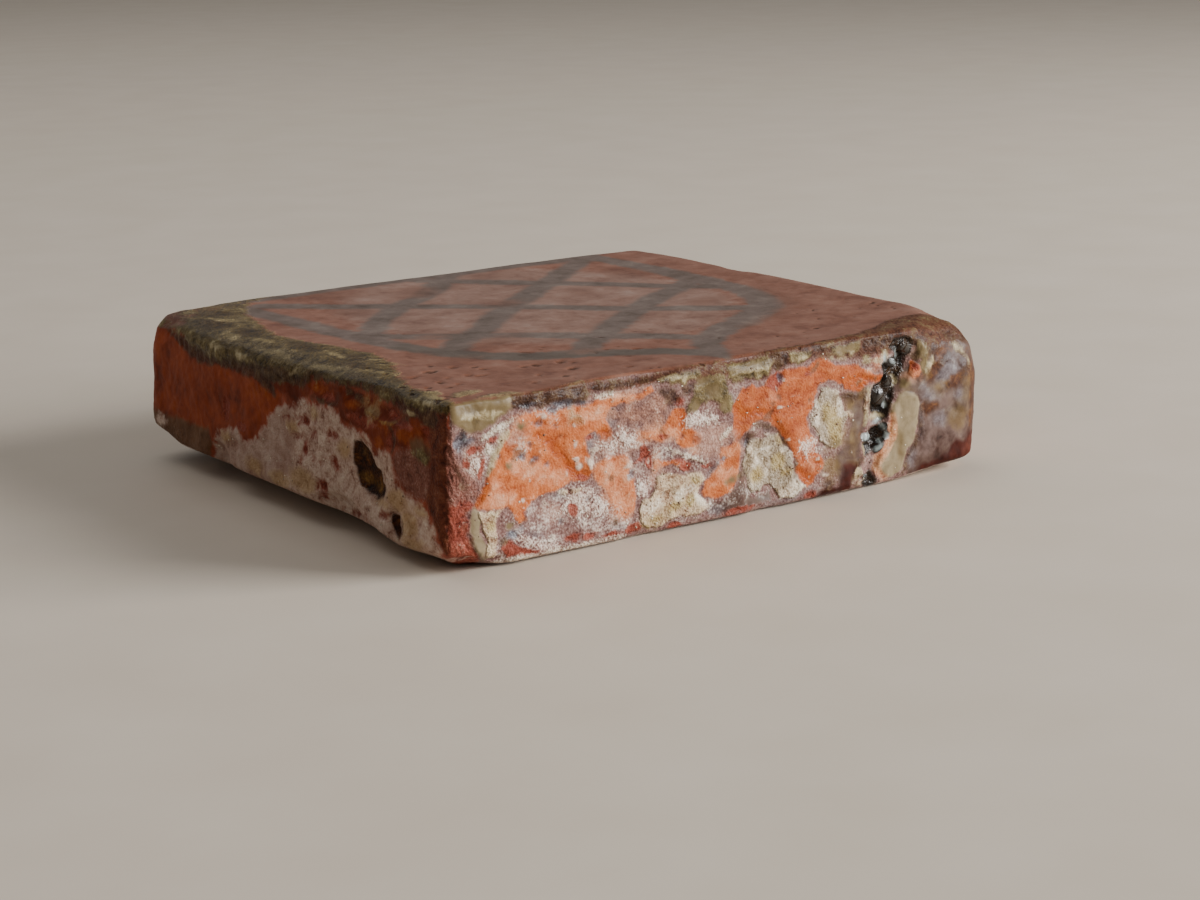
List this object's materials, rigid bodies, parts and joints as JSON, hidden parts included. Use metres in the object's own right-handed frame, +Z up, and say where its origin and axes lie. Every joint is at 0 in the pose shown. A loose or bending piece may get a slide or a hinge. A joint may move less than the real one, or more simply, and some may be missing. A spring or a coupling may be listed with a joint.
{
  "type": "floor tile",
  "caption": "Worn inlaid earthenware floor tile: a thick, almost square slab with a shield and fret in flush inlay, mortar residue on its sides, a broken corner and a deep fissure.",
  "frame": {"origin": "middle of the underside, the face that was bedded in mortar", "axes": "+Z up out of the walked-on face, +X along the side below the point of the shield, +Y up the shield towards its top"},
  "size_m": [0.1178, 0.1074, 0.0275],
  "materials": {
    "fired_clay": "Rough red earthenware with worn lead glaze and pale inlay on the walked-on face, and lime mortar residue on the sides."
  },
  "bodies": {
    "root": {"floor_tile": "fired_clay"}
  },
  "joints": []
}
